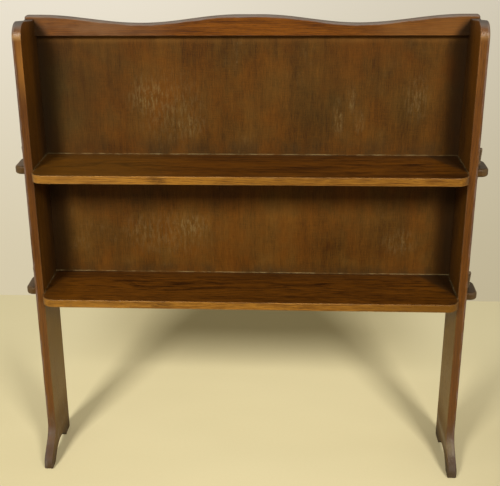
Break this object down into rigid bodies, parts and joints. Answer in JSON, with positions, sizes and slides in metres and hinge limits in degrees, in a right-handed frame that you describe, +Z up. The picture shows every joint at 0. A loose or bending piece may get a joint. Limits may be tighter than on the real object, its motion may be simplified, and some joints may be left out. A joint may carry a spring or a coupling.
{
  "type": "bookcase",
  "caption": "Open-fronted oak bookcase with plank ends on shaped feet, shelves held by wedged through tenons, a waved top rail and a thin back panel; the wedges lift out.",
  "frame": {"origin": "on the floor, under the middle of the bounding box", "axes": "+X to the right seen from the front, -Y to the front, where the toes and the open bays are, +Z up"},
  "size_m": [0.97, 0.1844, 0.977],
  "materials": {
    "end_oak": "dark stained oak, old wax polish, worn at the front edges",
    "shelf_oak": "golden brown stained oak, satin polish",
    "rail_oak": "mid brown stained oak, satin polish",
    "wedge_oak": "dark stained oak, dull",
    "plywood": "stained plywood, mottled, dull",
    "pin_steel": "dulled steel",
    "screw_steel": "dulled steel, slotted head"
  },
  "bodies": {
    "case": {"left_end": "end_oak", "right_end": "end_oak", "upper_shelf": "shelf_oak", "lower_shelf": "shelf_oak", "top_rail": "rail_oak", "back_panel": "plywood", "rail_screw_left": "screw_steel", "rail_screw_right": "screw_steel", "panel_pin_rail_1": "pin_steel", "panel_pin_rail_2": "pin_steel", "panel_pin_rail_3": "pin_steel", "panel_pin_rail_4": "pin_steel", "panel_pin_rail_5": "pin_steel", "panel_pin_upper_1": "pin_steel", "panel_pin_upper_2": "pin_steel", "panel_pin_upper_3": "pin_steel", "panel_pin_upper_4": "pin_steel", "panel_pin_upper_5": "pin_steel", "panel_pin_lower_1": "pin_steel", "panel_pin_lower_2": "pin_steel", "panel_pin_lower_3": "pin_steel", "panel_pin_lower_4": "pin_steel", "panel_pin_lower_5": "pin_steel", "panel_pin_left_top": "pin_steel", "panel_pin_left_low": "pin_steel", "panel_pin_right_top": "pin_steel", "panel_pin_right_low": "pin_steel"},
    "upper_left_wedge": {"wedge_upper_left": "wedge_oak"},
    "upper_right_wedge": {"wedge_upper_right": "wedge_oak"},
    "lower_left_wedge": {"wedge_lower_left": "wedge_oak"},
    "lower_right_wedge": {"wedge_lower_right": "wedge_oak"}
  },
  "joints": [
    {"name": "upper_left_wedge_lift", "type": "slide", "parent": "case", "child": "upper_left_wedge", "axis": [0, 0, 1], "range_m": [0, 0.04]},
    {"name": "upper_right_wedge_lift", "type": "slide", "parent": "case", "child": "upper_right_wedge", "axis": [0, 0, 1], "range_m": [0, 0.04]},
    {"name": "lower_left_wedge_lift", "type": "slide", "parent": "case", "child": "lower_left_wedge", "axis": [0, 0, 1], "range_m": [0, 0.04]},
    {"name": "lower_right_wedge_lift", "type": "slide", "parent": "case", "child": "lower_right_wedge", "axis": [0, 0, 1], "range_m": [0, 0.04]}
  ]
}
